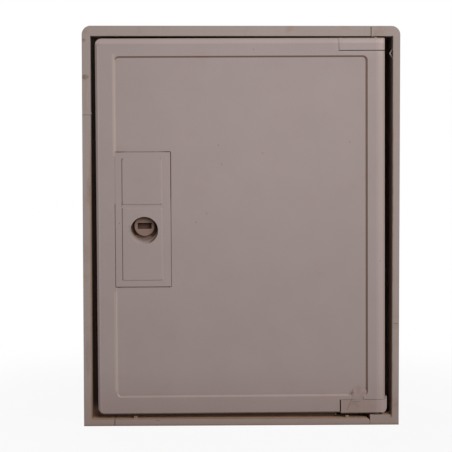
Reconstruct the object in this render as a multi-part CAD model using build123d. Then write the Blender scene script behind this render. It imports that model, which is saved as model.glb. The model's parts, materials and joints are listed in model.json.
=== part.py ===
from build123d import *
import math
import os

# Gas meter box: a moulded casing with a hinged door and a key lock.
# x runs to the right, y from the front to the back, z upwards, in millimetres and degrees.

# Casing
box_width = 400.0
box_height = 505.0
box_depth = 200.0
wall = 3.0
top_corner = 11.0
rim_left = 10.5
rim_right = 9.2
rim_top = 12.8
strip_hollow = 2.5
stop_width = 9.0
rear_flange = 15.0
return_left = 39.0
return_right = 37.0
open_seam = 0.8
strip_seam = 0.3
lap_length = 14.0
lap_inset = 40.0
seam_notch = 2.5

# Front strip, floor and pipe opening
strip_tongue_length = 12.0
strip_tongue_depth = 3.0
slip_gap = 0.3
strip_boss_radius = 5.0
strip_screw_share = 5 / 12
pip_spacing = 270.0
pip_width = 4.5
pip_depth = 3.0
pip_height = 2.6
pip_setback = 6.0
left_pip_below_top = 110.5
left_pip_width = 1.8
left_pip_reach = 1.2
pipe_opening_width = 250.0
pipe_opening_depth = 110.0
pipe_opening_corner = 12.0
cut_margin = 5.0

# Moulded nib on the hinge side of the front opening
nib_below_top = 34.0
nib_reach = 4.0
nib_height = 14.0
nib_setback = 3.0
nib_depth = 3.0
nib_wall = 1.2

# Back panel and wall fixings
panel_gap = 0.5
panel_corner = 10.0
fixing_spacing_x = 260.0
fixing_spacing_z = 325.0
fixing_hole_radius = 4.5
fixing_boss_radius = 11.0
fixing_boss_height = 4.0
panel_rib_width = 2.5
panel_rib_height = 3.5
panel_rib_x = 110.0
panel_rib_spacing_z = 180.0
panel_screw_rise = 190.0
panel_screw_x = 100.0

# Meter bracket, folded from sheet steel
bracket_width = 190.0
bracket_rise = 55.0
bracket_shelf = 88.0
bracket_sheet = 2.5
bracket_bend = 4.0
bracket_below_top = 110.0
bracket_corner = 8.0
bracket_boss_height = 9.0
bracket_boss_radius = 7.0
bracket_screw_x = 75.0
bracket_screw_rise = 24.0
bracket_screw_inset = 14.0
union_spacing = 110.0
union_width = 34.0
union_inset = 30.0

# Door
door_side_gap = 7.5
door_hinge_gap = 8.1
door_top_gap = 1.5
door_bottom_gap = 7.3
door_setback = 1.0
door_depth = 20.0
door_skin = 3.0
door_wall = 3.0
door_corner = 8.0
hinge_corner = 1.5
bevel_top = 6.3
bevel_right = 8.0
bevel_left = 3.0
bevel_bottom = 1.6
bevel_depth = 2.0
bevel_corner = 4.0
recess_left = 23.8
recess_right = 21.8
recess_top = 22.4
recess_bottom = 21.6
recess_depth = 1.8
recess_right_wall = 2.6
recess_corner = 6.0
door_rib_width = 2.2
door_rib_height = 4.0
door_rib_spacing_z = 290.0
door_rib_from_hinge = 122.0
door_sag = 0.23
rest_gap = 0.5

# Hinges
hinge_inset = 10.5
pin_radius = 3.0
pin_reach = 8.0
pin_grip = 9.0
pin_end_gap = 0.5
running_fit = 0.05
upper_block_length = 57.9
upper_block_height = 15.7
lower_block_length = 56.3
lower_block_height = 17.7
lower_block_reach = 2.5
lower_block_drop = 1.5
lower_block_corner = 8.0
lower_block_ear = 4.0
lower_block_seam = 1.4
block_seam = 0.8
block_tight_seam = 0.3
block_core_wall = 3.0
hinge_seat_rise = 4.3
washer_radius = 8.0
washer_bore_gap = 0.35
spot_face_depth = 0.5
block_screw_inset = 8.0
block_screw_spacing = 26.0
block_screw_bite = 8.0

# Lock plate
plate_width = 69.7
plate_height = 169.7
plate_drop = 142.7
plate_thickness = 3.0
plate_seam = 0.7
plate_side_seam = 0.5
plate_tight_length = 65.0
plate_backing = 3.0
plate_backing_margin = 5.0
plate_peg_radius = 2.5
plate_peg_inset = 6.0
pad_left = 8.5
pad_right = 10.5
pad_top = 7.2
pad_gap = 3.7
upper_pad_height = 59.0
lower_pad_height = 92.0
pad_rise = 0.8
pad_corner = 1.5

# Lock
core_from_left = 36.4
core_from_top = 93.0
core_radius = 13.2
core_recess = 8.0
core_chamfer = 0.6
core_length = 15.0
well_radius = 17.3
well_drop = 5.8
slot_width = 17.7
slot_height = 7.6
slot_depth = 9.0
slot_corner = 0.8
ring_depth = 6.0
housing_wall = 3.2
housing_rear_wall = 3.0
housing_ear_spacing = 54.0
housing_ear_width = 13.0
housing_ear_thickness = 3.0
housing_boss_height = 6.0
housing_boss_radius = 5.5
shaft_radius = 7.0
shaft_gap = 0.35
drive_square = 9.0
drive_gap = 0.1
tongue_reach = 66.0
tongue_width = 20.0
tongue_eye_radius = 13.0
tongue_thickness = 3.0
tongue_gap = 1.0
keeper_gap = 0.8
keeper_below = 34.0
keeper_above = 22.0
keeper_ramp = 12.0
tongue_washer_radius = 9.0
tongue_washer_thickness = 1.5

# Screws, each with a head radius, head height and shank radius
panel_screw = (4.0, 2.4, 2.0)
bracket_screw = (4.8, 3.0, 2.5)
strip_screw = (4.0, 2.0, 2.0)
block_screw = (3.6, 2.2, 1.8)
housing_screw = (4.0, 2.4, 2.0)
tongue_screw_size = (5.0, 3.2, 2.5)
screw_fit = 0.05
screw_tip_gap = 0.5
screw_head_edge = 0.7
tongue_screw_bite = 12.0

# Places worked out from the sizes above
left = -box_width / 2
right = box_width / 2
front = -box_depth / 2
back = box_depth / 2
open_left = left + rim_left
open_right = right - rim_right
open_bottom = 2 * wall + strip_hollow
open_top = box_height - rim_top
left_seam = left + return_left
right_seam = right - return_right
door_front = front + door_setback
door_back = door_front + door_depth
stop_front = door_back + rest_gap
stop_back = stop_front + wall
door_left = open_left + door_side_gap
door_right = open_right - door_hinge_gap
door_bottom = open_bottom + door_bottom_gap
door_top = open_top - door_top_gap
hinge_x = door_right - hinge_inset
hinge_y = (door_front + door_back) / 2
skin_back = door_front + door_skin
recess_front = door_front + recess_depth
upper_block_left = door_right - upper_block_length
upper_block_bottom = door_top - upper_block_height
lower_block_left = door_right - lower_block_length
lower_block_right = door_right + lower_block_reach
lower_block_bottom = door_bottom - lower_block_drop
lower_block_top = lower_block_bottom + lower_block_height
hinge_seat_top = open_bottom + hinge_seat_rise
spot_face = hinge_seat_top - spot_face_depth
stop_end = min(upper_block_left, lower_block_left) - door_wall
plate_left = door_left + recess_left
plate_right = plate_left + plate_width
plate_top = door_top - plate_drop
plate_bottom = plate_top - plate_height
plate_back = door_front + plate_thickness
backing_back = plate_back + plate_backing
pad_front = door_front - pad_rise
core_x = plate_left + core_from_left
core_z = plate_top - core_from_top
core_front = door_front + core_recess
core_back = core_front + core_length
ring_back = core_front + ring_depth
housing_back = core_back + housing_rear_wall
tongue_front = housing_back + tongue_gap
tongue_back = tongue_front + tongue_thickness
keeper_back = tongue_front - keeper_gap
panel_back = back - wall
panel_front = panel_back - wall
middle_z = box_height / 2
bracket_back = panel_front - bracket_boss_height
bracket_height = box_height - bracket_below_top
nib_z = box_height - nib_below_top
left_pip_z = box_height - left_pip_below_top
door_rib_x = door_right - door_rib_from_hinge
strip_land = min(-left_seam, right_seam) - pipe_opening_width / 2
strip_screw_x = pipe_opening_width / 2 + strip_land * strip_screw_share
strip_screw_y = (front + stop_back) / 2
bracket_face = bracket_back - bracket_sheet
housing_ear_front = backing_back + housing_boss_height
housing_ear_back = housing_ear_front + housing_ear_thickness
upper_pin_top = open_top + pin_reach
upper_pin_bottom = door_top - pin_grip
lower_pin_top = lower_block_bottom + pin_grip
lower_pin_bottom = spot_face - pin_reach
panel_screw_length = back - panel_front
strip_screw_length = open_bottom - screw_tip_gap
bracket_screw_length = bracket_sheet + bracket_boss_height + wall - screw_tip_gap
block_screw_length = door_wall + block_seam + block_screw_bite
housing_screw_length = housing_ear_thickness + housing_boss_height + plate_backing - screw_tip_gap

# The hung door leans a little to the left, so all that hangs with it turns about the lower hinge
hung = Pos(hinge_x, hinge_y, spot_face) * Rot(0, -door_sag, 0) * Pos(-hinge_x, -hinge_y, -spot_face)


def block(x_low, x_high, y_low, y_high, z_low, z_high):
    """Box between two opposite corners."""
    middle = Pos((x_low + x_high) / 2, (y_low + y_high) / 2, (z_low + z_high) / 2)
    return middle * Box(x_high - x_low, y_high - y_low, z_high - z_low)


def frame_outline(x_low, x_high, z_low, z_high):
    """Rectangle seen from the front."""
    return Pos((x_low + x_high) / 2, (z_low + z_high) / 2) * Rectangle(x_high - x_low, z_high - z_low)


def rounded(outline, radius, side=None, axis=Axis.Y):
    """Outline with rounded corners: all of them, or those at the low or high end of an axis."""
    corners = outline.vertices()
    if side is not None:
        corners = corners.group_by(axis)[side]
    return fillet(corners, radius)


def slab(outline, y_front, y_back):
    """Front outline carried straight from one depth to another."""
    return extrude(Plane.XZ.offset(-y_back) * outline, amount=y_back - y_front)


def tapered_slab(front_outline, y_front, back_outline, y_back):
    """Slab whose outline changes evenly from its front to its back."""
    sections = [Plane.XZ.offset(-y_front) * front_outline, Plane.XZ.offset(-y_back) * back_outline]
    return loft(sections, ruled=True)


def level_post(x, z, radius, y_front, y_back):
    """Round post or hole that lies along the depth."""
    return slab(Pos(x, z) * Circle(radius), y_front, y_back)


def upright_post(x, y, radius, z_low, z_high):
    """Round post or hole that stands up."""
    return Pos(x, y, (z_low + z_high) / 2) * Cylinder(radius, z_high - z_low)


def screw(size, length, countersunk=False):
    """Screw with its shank down from the origin and its head above, or sunk below it."""
    head_radius, head_height, shank_radius = size
    shank = Pos(0, 0, -length / 2) * Cylinder(shank_radius, length)
    if countersunk:
        return shank + Pos(0, 0, -head_height / 2) * Cone(shank_radius, head_radius, head_height)
    head = Pos(0, 0, head_height / 2) * Cylinder(head_radius, head_height)
    return shank + chamfer(head.edges().group_by(Axis.Z)[-1], screw_head_edge)


def screws(size, length, places, countersunk=False):
    """Like screws at several places, each a little shorter than its hole."""
    pattern = screw(size, length - screw_tip_gap, countersunk)
    return Compound([place * pattern for place in places])


def screw_holes(size, length, places, countersunk=False):
    """Holes for like screws at several places."""
    room = tuple(value + screw_fit for value in size)
    pattern = screw(room, length, countersunk)
    return Compound([place * pattern for place in places])


# Ways that a screw can point: its head faces the viewer, the wall, the floor or the lid
head_to_front = Rot(90, 0, 0)
head_to_back = Rot(-90, 0, 0)
head_down = Rot(180, 0, 0)
head_up = Rot(0, 0, 0)


def casing_outline():
    """Outside of the casing: rounded above, square below."""
    return rounded(frame_outline(left, right, 0, box_height), top_corner, side=-1)


def casing_shell():
    """Whole casing before it is parted at its seams."""
    outside = casing_outline()
    inside = frame_outline(left + wall, right - wall, wall, box_height - wall)
    inside = rounded(inside, top_corner - wall, side=-1)
    opening = frame_outline(open_left, open_right, open_bottom, open_top)
    lip = frame_outline(open_left - wall, open_right + wall, open_bottom - wall, open_top + wall)
    stop = frame_outline(open_left + stop_width, open_right, open_bottom + stop_width, open_top - stop_width)
    rear = frame_outline(left + rear_flange, right - rear_flange, rear_flange, box_height - rear_flange)
    shell = slab(outside - inside, front, back)
    shell += slab(outside - opening, front, front + wall)
    shell += slab(lip - opening, front, stop_back)
    ledge = slab(lip - stop, stop_front, stop_back)
    shell += ledge & block(left, stop_end, front, back, 0, box_height)
    shell += slab(outside - rear, back - wall, back)
    return shell


def lap_tongue(side, z_low, z_high):
    """Tongue that lies inside a side wall's return and carries the seam."""
    seam = left_seam if side < 0 else right_seam
    x_low, x_high = sorted((seam - side * lap_inset, seam + side * lap_length))
    return block(x_low, x_high, stop_back + slip_gap, panel_front - slip_gap, z_low, z_high)


def back_screw_places():
    """Where the back panel is screwed to the rear flange, all round."""
    low_z = (wall + panel_gap + rear_flange) / 2
    side_x = right - low_z
    high_z = box_height - low_z
    places = []
    for side in (-1, 1):
        for row in (-1, 0, 1):
            places.append(Pos(side * side_x, panel_front, middle_z + row * panel_screw_rise) * head_to_front)
        for z in (low_z, high_z):
            places.append(Pos(side * panel_screw_x, panel_front, z) * head_to_front)
    return places


def back_screw_holes():
    """Holes for the back panel screws."""
    return screw_holes(panel_screw, panel_screw_length, back_screw_places())


def hinge_bores():
    """Bores in the casing for both hinge pins, and the spot face under the washer."""
    bore_radius = pin_radius + running_fit
    washer_room = washer_radius + slip_gap
    bores = upright_post(hinge_x, hinge_y, bore_radius, door_top, upper_pin_top + pin_end_gap)
    bores += upright_post(hinge_x, hinge_y, bore_radius, lower_pin_bottom - pin_end_gap, hinge_seat_top)
    bores += upright_post(hinge_x, hinge_y, washer_room, spot_face, hinge_seat_top + hinge_seat_rise)
    return hung * bores


def strip_tongue(side, gap):
    """End tongue of the front strip, with room round it where it is cut as a socket."""
    seam = left_seam if side < 0 else right_seam
    x_low, x_high = sorted((seam, seam + side * (strip_tongue_length + gap)))
    y_low = front + wall
    y_high = y_low + strip_tongue_depth + gap
    return block(x_low - open_seam, x_high + open_seam, y_low, y_high, wall - gap, open_bottom - wall + gap)


def left_and_top_panel(shell):
    """Left wall and top in one moulding, with the ledge and the ramped keeper for the lock's tongue."""
    top_end = right_seam - open_seam / 2
    panel = shell & block(left, left_seam - strip_seam / 2, front, back, 0, box_height)
    panel += shell & block(left, top_end, front, back, open_top - stop_width, box_height)
    panel += lap_tongue(1, box_height - 2 * wall, box_height - wall)
    low = core_z - keeper_below
    high = core_z + keeper_above
    profile = Polyline(
        (stop_back, low), (keeper_back, low + keeper_ramp), (keeper_back, high), (stop_back, high), close=True
    )
    keeper = extrude(Plane.YZ.offset(open_left - wall) * make_face(profile), amount=wall + stop_width)
    panel += keeper
    pip_end = open_left + left_pip_reach
    panel += block(open_left, pip_end, front, front + pip_depth, left_pip_z, left_pip_z + left_pip_width)
    return panel - back_screw_holes()


def right_side_panel(shell):
    """Right wall with the two solid corner blocks that the hinge pins turn in."""
    seats = block(right_seam, open_right + wall, front, stop_back, open_top, box_height)
    seats += block(right_seam, open_right + wall, front, stop_back, 0, hinge_seat_top)
    panel = (shell + seats) & slab(casing_outline(), front, back)
    panel &= block(right_seam + open_seam / 2, right, front, back, 0, box_height)
    nib_front = front + nib_setback
    panel += slab(nib_outline(), nib_front, nib_front + nib_depth)
    return panel - hinge_bores() - strip_tongue(1, slip_gap) - back_screw_holes()


def nib_outline():
    """Bent arm that points at the door, open on the side of the wall."""
    half = nib_height / 2
    inner_share = 1 - nib_wall * math.hypot(nib_reach, half) / (nib_reach * half)
    outlines = []
    for share in (1, inner_share):
        low = (open_right, nib_z - half * share)
        tip = (open_right - nib_reach * share, nib_z)
        high = (open_right, nib_z + half * share)
        outlines.append(make_face(Polyline(low, tip, high, close=True)))
    return outlines[0] - outlines[1]


def bottom_panel(shell):
    """Floor with its rear flange and an opening for the pipes that runs out to the front."""
    x_low = left_seam + open_seam / 2
    x_high = right_seam - open_seam / 2
    panel = shell & block(x_low, x_high, front + wall, back, 0, wall)
    panel += shell & block(x_low, x_high, back - wall, back, 0, rear_flange)
    for side in (-1, 1):
        panel += lap_tongue(side, wall, 2 * wall)
    half = pipe_opening_width / 2
    far_side = front + wall + pipe_opening_depth
    opening = block(-half, half, front, far_side, -cut_margin, 2 * wall + cut_margin)
    far_corners = opening.edges().filter_by(Axis.Z).group_by(Axis.Y)[-1]
    panel -= fillet(far_corners, pipe_opening_corner)
    return panel - strip_screw_holes() - back_screw_holes()


def strip_screw_places():
    """Where the front strip is screwed up through the floor."""
    return [Pos(side * strip_screw_x, strip_screw_y, 0) * head_down for side in (-1, 1)]


def strip_screw_holes():
    """Holes for the strip's screws."""
    return screw_holes(strip_screw, strip_screw_length, strip_screw_places(), countersunk=True)


def bottom_front_strip(shell):
    """Loose strip of the lower rim, with its ledge, end tongues, screw bosses and two pips."""
    x_low = left_seam + strip_seam / 2
    x_high = right_seam + open_seam / 2 - strip_seam
    strip = shell & block(x_low, x_high, front, front + wall, 0, open_bottom)
    strip += shell & block(x_low, x_high, front, stop_back, open_bottom - wall, open_bottom + stop_width)
    strip += strip_tongue(-1, 0) + strip_tongue(1, 0)
    pip_half = pip_width / 2
    pip_top = open_bottom + pip_height
    pip_front = front + pip_setback
    for side in (-1, 1):
        strip += upright_post(side * strip_screw_x, strip_screw_y, strip_boss_radius, wall, open_bottom)
        pip_x = side * pip_spacing / 2
        pip_left = pip_x - pip_half
        pip_right = pip_x + pip_half
        strip += block(pip_left, pip_right, pip_front, pip_front + pip_depth, open_bottom, pip_top)
    along = (x_high - seam_notch, open_bottom)
    notch = Polyline((x_high, open_bottom), along, (x_high, open_bottom - seam_notch), close=True)
    strip -= slab(make_face(notch), front, stop_front)
    return strip - strip_screw_holes()


def fixing_places():
    """Four wall fixings, on the corners of a rectangle about the middle of the back."""
    half_x = fixing_spacing_x / 2
    half_z = fixing_spacing_z / 2
    return [(x, middle_z + z) for x in (-half_x, half_x) for z in (-half_z, half_z)]


def bracket_screw_places():
    """Four screws through the bracket's upright flange."""
    low = bracket_height + bracket_screw_inset
    high = low + bracket_screw_rise
    return [Pos(x, bracket_face, z) for x in (-bracket_screw_x, bracket_screw_x) for z in (low, high)]


def back_panel():
    """Ribbed back with bosses that stand on the wall and carry the bracket."""
    margin = wall + panel_gap
    outline = frame_outline(left + margin, right - margin, margin, box_height - margin)
    panel = slab(rounded(outline, panel_corner), panel_front, panel_back)
    rib_front = panel_front - panel_rib_height
    rib_half = panel_rib_width / 2
    reach_x = right - rear_flange - panel_gap
    reach_low = rear_flange + panel_gap
    reach_high = box_height - rear_flange - panel_gap
    for side in (-1, 1):
        rib_x = side * panel_rib_x
        panel += block(rib_x - rib_half, rib_x + rib_half, rib_front, panel_front, reach_low, reach_high)
        rib_z = middle_z + side * panel_rib_spacing_z / 2
        panel += block(-reach_x, reach_x, rib_front, panel_front, rib_z - rib_half, rib_z + rib_half)
    for x, z in fixing_places():
        panel += level_post(x, z, fixing_boss_radius, panel_front - fixing_boss_height, back)
    for place in bracket_screw_places():
        spot = place.position
        panel += level_post(spot.X, spot.Z, bracket_boss_radius, bracket_back, panel_front)
    for x, z in fixing_places():
        panel -= level_post(x, z, fixing_hole_radius, panel_front - fixing_boss_height, back)
    return panel - back_screw_holes() - bracket_screw_holes()


def bracket_screw_holes():
    """Holes for the bracket's screws, through the sheet and into the bosses."""
    places = [place * head_to_front for place in bracket_screw_places()]
    return screw_holes(bracket_screw, bracket_screw_length, places)


def meter_bracket():
    """Steel shelf folded at its back edge, with two open slots for the meter's unions."""
    shelf_front = bracket_back - bracket_shelf
    shelf_top = bracket_height + bracket_sheet
    half = bracket_width / 2
    upright = block(-half, half, bracket_face, bracket_back, bracket_height, bracket_height + bracket_rise)
    bracket = upright + block(-half, half, shelf_front, bracket_back, bracket_height, shelf_top)
    outer_fold = (0, bracket_back, bracket_height)
    inner_fold = (0, bracket_face, shelf_top)
    for fold, radius in ((outer_fold, bracket_bend), (inner_fold, bracket_bend - bracket_sheet)):
        bracket = fillet(bracket.edges().filter_by(Axis.X).sort_by_distance(fold)[0], radius)
    upright_corners = bracket.edges().filter_by(Axis.Y).group_by(Axis.Z)[-1]
    bracket = fillet(upright_corners, bracket_corner)
    shelf_corners = bracket.edges().filter_by(Axis.Z).group_by(Axis.Y)[0]
    bracket = fillet(shelf_corners, bracket_corner)
    slot_y = shelf_front + union_inset
    slot_low = bracket_height - cut_margin
    radius = union_width / 2
    for side in (-1, 1):
        x = side * union_spacing / 2
        bracket -= upright_post(x, slot_y, radius, slot_low, shelf_top)
        bracket -= block(x - radius, x + radius, shelf_front, slot_y, slot_low, shelf_top)
    return bracket - bracket_screw_holes()


def door_outline(margins, free_corner):
    """Door outline drawn in by a margin on each side, rounder on its free side than by its hinges."""
    from_left, from_right, from_bottom, from_top = margins
    x_low = door_left + from_left
    x_high = door_right - from_right
    outline = frame_outline(x_low, x_high, door_bottom + from_bottom, door_top - from_top)
    outline = rounded(outline, free_corner, side=0, axis=Axis.X)
    return rounded(outline, hinge_corner, side=-1, axis=Axis.X)


def door_blank():
    """Solid door with its bevelled front edge, before it is hollowed and parted."""
    bevel_back = door_front + bevel_depth
    full = door_outline((0, 0, 0, 0), door_corner)
    face = door_outline((bevel_left, bevel_right, bevel_bottom, bevel_top), bevel_corner)
    return tapered_slab(face, door_front, full, bevel_back) + slab(full, bevel_back, door_back)


def upper_notch(margin_left, margin_low):
    """Room for the upper hinge block in the door's corner."""
    x_low = upper_block_left - margin_left
    z_low = upper_block_bottom - margin_low
    return block(x_low, door_right + cut_margin, front, back, z_low, door_top + cut_margin)


def lower_notch(margin_left, margin_high):
    """Room for the lower hinge block in the door's corner."""
    x_low = lower_block_left - margin_left
    z_high = lower_block_top + margin_high
    return block(x_low, door_right + cut_margin, front, back, door_bottom - cut_margin, z_high)


def recess_outline(inset, right_inset):
    """Outline of the sunk field."""
    x_low = door_left + recess_left + inset
    x_high = door_right - recess_right - right_inset
    z_low = door_bottom + recess_bottom + inset
    z_high = door_top - recess_top - inset
    return rounded(frame_outline(x_low, x_high, z_low, z_high), recess_corner - inset)


def plate_outline(margin):
    """Outline of the lock plate."""
    return frame_outline(plate_left - margin, plate_right + margin, plate_bottom - margin, plate_top + margin)


def plate_pocket():
    """Room for the lock plate: tight along the upper part of its left side, and a little open elsewhere."""
    z_low = plate_bottom - plate_seam
    z_tight = plate_top - plate_tight_length
    pocket = frame_outline(plate_left, plate_right + plate_seam, z_low, plate_top + plate_seam)
    pocket += frame_outline(plate_left - plate_side_seam, plate_right, z_low, z_tight)
    return slab(pocket, door_front, plate_back)


def key_well():
    """Round well that slants upwards as it goes in, so that its upper lip keeps rain off the core."""
    depth = backing_back - pad_front
    rise = Vector(0, depth, well_drop)
    mouth = Plane.XZ.offset(-pad_front) * (Pos(core_x, core_z - well_drop) * Circle(well_radius))
    before = Solid.extrude(mouth.face(), -rise * (pad_rise / depth))
    return Solid.extrude(mouth.face(), rise) + before


def plate_peg_places():
    """Pegs that hold the lock plate in the door."""
    x_low = plate_left + plate_peg_inset
    x_high = plate_right - plate_peg_inset
    z_low = plate_bottom + plate_peg_inset
    z_high = plate_top - plate_peg_inset
    return [(x, z) for x in (x_low, x_high) for z in (z_low, z_high)]


def housing_screw_places():
    """Two screws, above and below the lock."""
    return [Pos(core_x, housing_ear_back, core_z + side * housing_ear_spacing / 2) for side in (-1, 1)]


def housing_screw_holes():
    """Holes for the housing's screws, through the ears and into the bosses."""
    places = [place * head_to_back for place in housing_screw_places()]
    return screw_holes(housing_screw, housing_screw_length, places)


def block_screw_places():
    """Screws from inside the door: upwards into the upper block, downwards into the lower one."""
    places = []
    upper_z = upper_block_bottom - block_seam - door_wall
    lower_z = lower_block_top + block_tight_seam + door_wall
    for step in (0, block_screw_spacing):
        places.append(Pos(upper_block_left + block_screw_inset + step, hinge_y, upper_z) * head_down)
        places.append(Pos(lower_block_left + block_screw_inset + step, hinge_y, lower_z) * head_up)
    return places


def block_screw_holes():
    """Holes for the hinge block screws."""
    return screw_holes(block_screw, block_screw_length, block_screw_places())


def door_ribs():
    """Stiffening ribs on the inside of the door."""
    field_back = recess_front + door_skin
    rib_back = field_back + door_rib_height
    half = door_rib_width / 2
    x_low = door_left + door_wall
    x_high = door_right - door_wall
    z_low = door_bottom + door_wall
    z_high = door_top - door_wall
    middle = (door_bottom + door_top) / 2
    ribs = block(door_rib_x - half, door_rib_x + half, skin_back, rib_back, z_low, z_high)
    for side in (-1, 1):
        rib_z = middle + side * door_rib_spacing_z / 2
        ribs += block(x_low, x_high, skin_back, rib_back, rib_z - half, rib_z + half)
    return ribs


def door_panel():
    """Moulded door: bevelled tray with a sunk field, a pocket for the lock plate and ribs inside."""
    panel = door_blank() - upper_notch(block_tight_seam, block_seam)
    panel -= lower_notch(lower_block_seam, block_tight_seam)
    inside = door_outline((door_wall, door_wall, door_wall, door_wall), door_corner - door_wall)
    hollow = slab(inside, skin_back, door_back)
    hollow -= upper_notch(block_tight_seam + door_wall, block_seam + door_wall)
    hollow -= lower_notch(lower_block_seam + door_wall, block_tight_seam + door_wall)
    panel -= hollow
    panel += slab(recess_outline(-door_skin, -door_skin), skin_back, recess_front + door_skin)
    panel += slab(plate_outline(plate_backing_margin), skin_back, backing_back)
    panel += door_ribs()
    for place in housing_screw_places():
        spot = place.position
        panel += level_post(spot.X, spot.Z, housing_boss_radius, backing_back, housing_ear_front)
    field = recess_outline(recess_depth, recess_right_wall)
    panel -= tapered_slab(recess_outline(0, 0), door_front, field, recess_front)
    panel -= plate_pocket()
    for x, z in plate_peg_places():
        panel -= level_post(x, z, plate_peg_radius + slip_gap, plate_back, backing_back)
    return panel - key_well() - housing_screw_holes() - block_screw_holes()


def lock_plate():
    """Plate flush with the door's border, with two raised pads, pegs behind and the key well."""
    plate = slab(plate_outline(0), door_front, plate_back)
    x_low = plate_left + pad_left
    x_high = plate_right - pad_right
    upper_top = plate_top - pad_top
    lower_top = upper_top - upper_pad_height - pad_gap
    for top, height in ((upper_top, upper_pad_height), (lower_top, lower_pad_height)):
        foot = rounded(frame_outline(x_low, x_high, top - height, top), pad_corner)
        face = frame_outline(x_low + pad_rise, x_high - pad_rise, top - height + pad_rise, top - pad_rise)
        plate += tapered_slab(rounded(face, pad_corner), pad_front, foot, door_front)
    for x, z in plate_peg_places():
        plate += level_post(x, z, plate_peg_radius, plate_back, backing_back)
    return plate - key_well()


def upper_hinge_block():
    """Corner of the door that carries the upper pin, cored from behind."""
    piece = door_blank() & upper_notch(0, 0)
    piece -= block_core(upper_block_left, upper_block_bottom, upper_block_height)
    piece -= upright_post(hinge_x, hinge_y, pin_radius + running_fit, upper_pin_bottom, box_height)
    return piece - block_screw_holes()


def lower_hinge_block():
    """Corner piece below the door, proud of it to the right and below, on the lower pin."""
    bevel_back = door_front + bevel_depth
    full = frame_outline(lower_block_left, lower_block_right, lower_block_bottom, lower_block_top)
    face_right = lower_block_right - bevel_right
    face = frame_outline(lower_block_left, face_right, lower_block_bottom + bevel_bottom, lower_block_top)
    piece = tapered_slab(face, door_front, full, bevel_back) + slab(full, bevel_back, door_back)
    outer_corner = full.vertices().sort_by_distance((lower_block_right, lower_block_bottom))[0]
    piece &= slab(fillet(outer_corner, lower_block_corner), door_front, door_back)
    ear_left = door_right + block_tight_seam
    ear_top = lower_block_top + lower_block_ear
    piece += block(ear_left, lower_block_right, bevel_back, door_back, lower_block_top, ear_top)
    piece -= block_core(lower_block_left, lower_block_bottom, lower_block_height)
    piece -= upright_post(hinge_x, hinge_y, pin_radius + running_fit, 0, lower_pin_top)
    return piece - block_screw_holes()


def block_core(block_left, block_bottom, block_height):
    """Hollow in the back of a hinge block, between its two screws."""
    x_low = block_left + 2 * block_screw_inset
    x_high = block_left + block_screw_spacing
    z_low = block_bottom + block_core_wall
    z_high = block_bottom + block_height - block_core_wall
    return block(x_low, x_high, door_front + bevel_depth + block_core_wall, door_back, z_low, z_high)


def upper_hinge_pin():
    """Steel pin that stands out of the upper block into the top rim."""
    return upright_post(hinge_x, hinge_y, pin_radius, upper_pin_bottom, upper_pin_top)


def lower_hinge_pin():
    """Steel pin that reaches down into the lower corner block."""
    return upright_post(hinge_x, hinge_y, pin_radius, lower_pin_bottom, lower_pin_top)


def hinge_washer():
    """Washer that carries the door's weight on the casing."""
    bore_radius = pin_radius + washer_bore_gap
    washer = upright_post(hinge_x, hinge_y, washer_radius, spot_face, lower_block_bottom)
    return washer - upright_post(hinge_x, hinge_y, bore_radius, spot_face, lower_block_bottom)


def lock_housing():
    """Barrel behind the door with a dark ring round the core, a bearing for it and two screwed ears."""
    body_radius = well_radius + housing_wall
    body = level_post(core_x, core_z, body_radius, backing_back, housing_back)
    ears = SlotCenterToCenter(housing_ear_spacing, housing_ear_width, rotation=90)
    body += slab(Pos(core_x, core_z) * ears, housing_ear_front, housing_ear_back)
    body -= level_post(core_x, core_z, well_radius, backing_back, ring_back)
    body -= level_post(core_x, core_z, core_radius + running_fit, ring_back, core_back)
    body -= level_post(core_x, core_z, shaft_radius + shaft_gap, core_back, housing_back)
    return body - housing_screw_holes()


def lock_core():
    """Core with its key slot in front and a squared end behind for the tongue."""
    head = level_post(core_x, core_z, core_radius, core_front, core_back)
    head = chamfer(head.edges().group_by(Axis.Y)[0], core_chamfer)
    core = head + level_post(core_x, core_z, shaft_radius, core_back, tongue_front)
    core += slab(Pos(core_x, core_z) * Rectangle(drive_square, drive_square), tongue_front, tongue_back)
    key_slot = rounded(Rectangle(slot_width, slot_height), slot_corner)
    core -= slab(Pos(core_x, core_z) * key_slot, core_front, core_front + slot_depth)
    return core - screw_holes(tongue_screw_size, tongue_screw_bite, [tongue_screw_place()])


def lock_tongue():
    """Flat steel tongue, hanging from the core while the door is unlocked."""
    tip_radius = tongue_width / 2
    outline = Pos(core_x, core_z) * Circle(tongue_eye_radius)
    outline += frame_outline(core_x - tip_radius, core_x + tip_radius, core_z - tongue_reach, core_z)
    outline = fillet(outline.vertices().group_by(Axis.Y)[0], tip_radius / 2)
    eye = drive_square + 2 * drive_gap
    outline -= Pos(core_x, core_z) * Rectangle(eye, eye)
    return slab(outline, tongue_front, tongue_back)


def tongue_washer():
    """Washer between the tongue and its screw."""
    washer_back = tongue_back + tongue_washer_thickness
    washer = level_post(core_x, core_z, tongue_washer_radius, tongue_back, washer_back)
    shank_radius = tongue_screw_size[-1]
    return washer - level_post(core_x, core_z, shank_radius + screw_fit, tongue_back, washer_back)


def tongue_screw_place():
    """The tongue's screw sits on its washer and bites into the core."""
    return Pos(core_x, tongue_back + tongue_washer_thickness, core_z) * head_to_back


def tongue_screw():
    """Screw that holds the tongue on the core."""
    return screws(tongue_screw_size, tongue_screw_bite, [tongue_screw_place()])


def back_panel_screws():
    """Screws all round the back panel, driven from inside."""
    return screws(panel_screw, panel_screw_length, back_screw_places())


def bracket_screws():
    """Screws that hold the meter bracket."""
    places = [place * head_to_front for place in bracket_screw_places()]
    return screws(bracket_screw, bracket_screw_length, places)


def strip_screws():
    """Countersunk screws of the front strip, flush under the floor."""
    return screws(strip_screw, strip_screw_length, strip_screw_places(), countersunk=True)


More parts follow.
